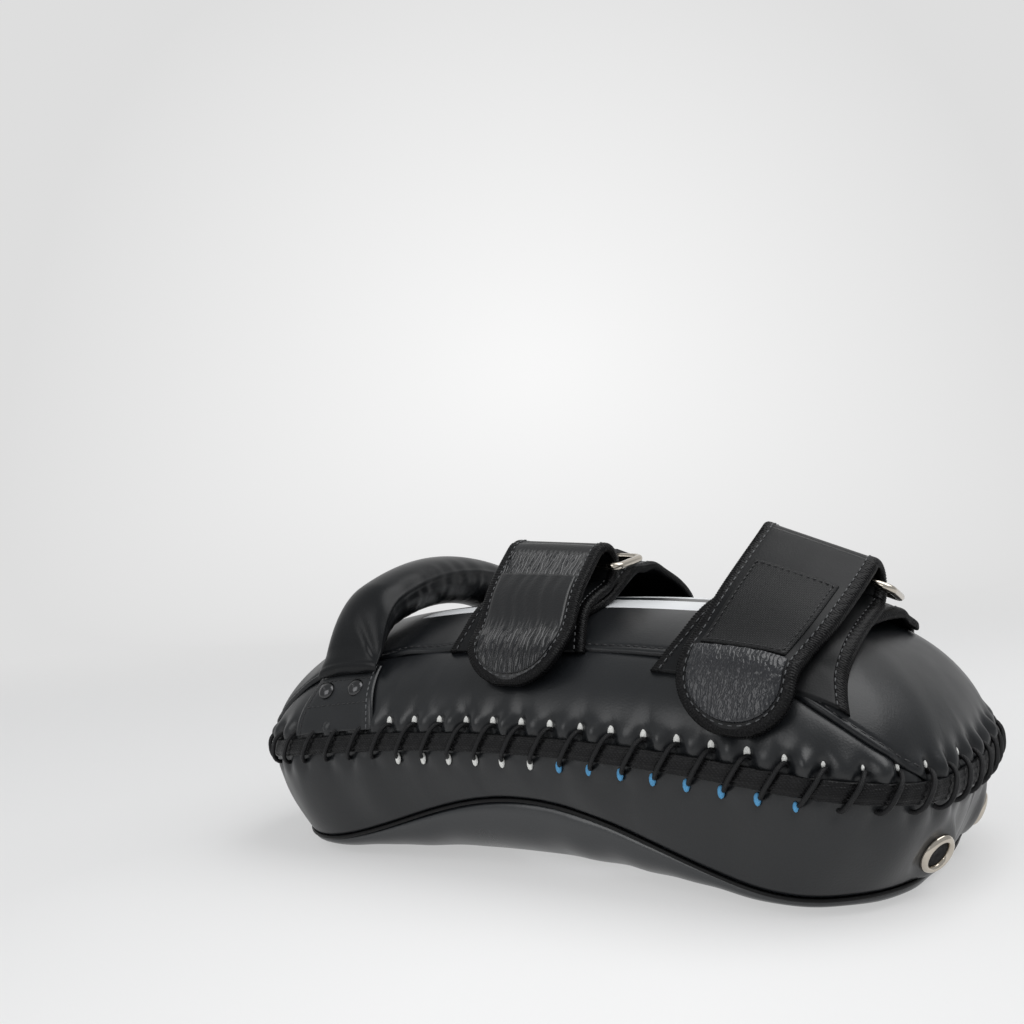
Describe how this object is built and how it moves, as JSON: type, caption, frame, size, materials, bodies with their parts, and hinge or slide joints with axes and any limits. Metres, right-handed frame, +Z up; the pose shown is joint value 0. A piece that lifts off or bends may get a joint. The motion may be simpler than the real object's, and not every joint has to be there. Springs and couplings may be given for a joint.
{
  "type": "curved kick pad",
  "caption": "Curved forearm pad for catching kicks and punches: laced leather case over foam, with a riveted hand grip and hook-and-loop arm straps on its back.",
  "frame": {"origin": "on the floor under the middle of the pad, which lies on its strike face", "axes": "+X along the pad from the hand end to the elbow end, +Y across it from the near long side to the far one, +Z up out of the back"},
  "size_m": [0.407, 0.212, 0.1683],
  "materials": {
    "case_leather": "satin black coated leather",
    "strap_leather": "satin black coated leather, padded",
    "edge_tape": "black woven binding tape",
    "lacing_cord": "black waxed braided cord",
    "seam_piping": "black piping",
    "dense_foam": "dark closed-cell foam",
    "blue_foam": "blue closed-cell foam",
    "white_foam": "white closed-cell foam",
    "nickel_plate": "nickel plated",
    "black_rivet": "black lacquered, domed",
    "steel_burr": "plain",
    "hook_and_loop": "black hook and loop tape"
  },
  "bodies": {
    "case": {"strike_face_panel": "case_leather", "side_wall_near": "case_leather", "side_wall_far": "case_leather", "back_centre_panel": "case_leather", "back_side_panel_near": "case_leather", "back_side_panel_far": "case_leather", "strike_bead": "seam_piping", "edge_tape": "edge_tape", "edge_lacing": "lacing_cord", "strike_foam": "dense_foam", "core_foam": "blue_foam", "back_foam": "white_foam", "vent_eyelets": "nickel_plate", "vent_washers": "nickel_plate", "grip_tab_near": "case_leather", "grip_tab_far": "case_leather", "grip_necks": "case_leather", "grip_rivets": "black_rivet", "rivet_burrs": "steel_burr", "wrist_strap": "strap_leather", "wrist_strap_binding": "edge_tape", "wrist_loop_patch": "hook_and_loop", "wrist_fold": "strap_leather", "wrist_flap": "strap_leather", "wrist_flap_binding": "edge_tape", "wrist_ring_tab": "strap_leather", "forearm_strap": "strap_leather", "forearm_strap_binding": "edge_tape", "forearm_loop_patch": "hook_and_loop", "forearm_fold": "strap_leather", "forearm_flap": "strap_leather", "forearm_flap_binding": "edge_tape", "forearm_ring_tab": "strap_leather"},
    "hand_grip": {"grip_sleeve": "case_leather", "grip_core": "white_foam"},
    "wrist_strap_end": {"wrist_tongue": "strap_leather", "wrist_tongue_binding": "edge_tape", "wrist_tongue_facing": "strap_leather", "wrist_hook_patch": "hook_and_loop"},
    "wrist_link": {"wrist_ring": "nickel_plate"},
    "forearm_strap_end": {"forearm_tongue": "strap_leather", "forearm_tongue_binding": "edge_tape", "forearm_tongue_facing": "strap_leather", "forearm_label_patch": "strap_leather", "forearm_hook_patch": "hook_and_loop"},
    "forearm_link": {"forearm_ring": "nickel_plate"}
  },
  "joints": [
    {"name": "wrist_tongue_peel", "type": "hinge", "parent": "case", "child": "wrist_strap_end", "pos_m": [-0.01022, -0.02, 0.15167], "axis": [-0.9976, 0, 0.0698], "range_deg": [0, 135], "deforming": ["wrist_fold"]},
    {"name": "forearm_tongue_peel", "type": "hinge", "parent": "case", "child": "forearm_strap_end", "pos_m": [0.13049, -0.01, 0.14631], "axis": [-0.9336, 0, 0.3584], "range_deg": [0, 135], "deforming": ["forearm_fold"]},
    {"name": "wrist_ring_swing", "type": "hinge", "parent": "case", "child": "wrist_link", "pos_m": [-0.01022, 0.00685, 0.1545], "axis": [-0.9976, 0, 0.0698], "range_deg": [-9, 9]},
    {"name": "forearm_ring_swing", "type": "hinge", "parent": "case", "child": "forearm_link", "pos_m": [0.13049, 0.01595, 0.13834], "axis": [-0.9336, 0, 0.3584], "range_deg": [-9, 9]},
    {"name": "grip_lean", "type": "hinge", "parent": "case", "child": "hand_grip", "pos_m": [-0.114, 0, 0.1067], "axis": [0, 1, 0], "range_deg": [-12, 12], "stiffness_Nm_per_rad": 1, "deforming": ["grip_necks"]}
  ]
}
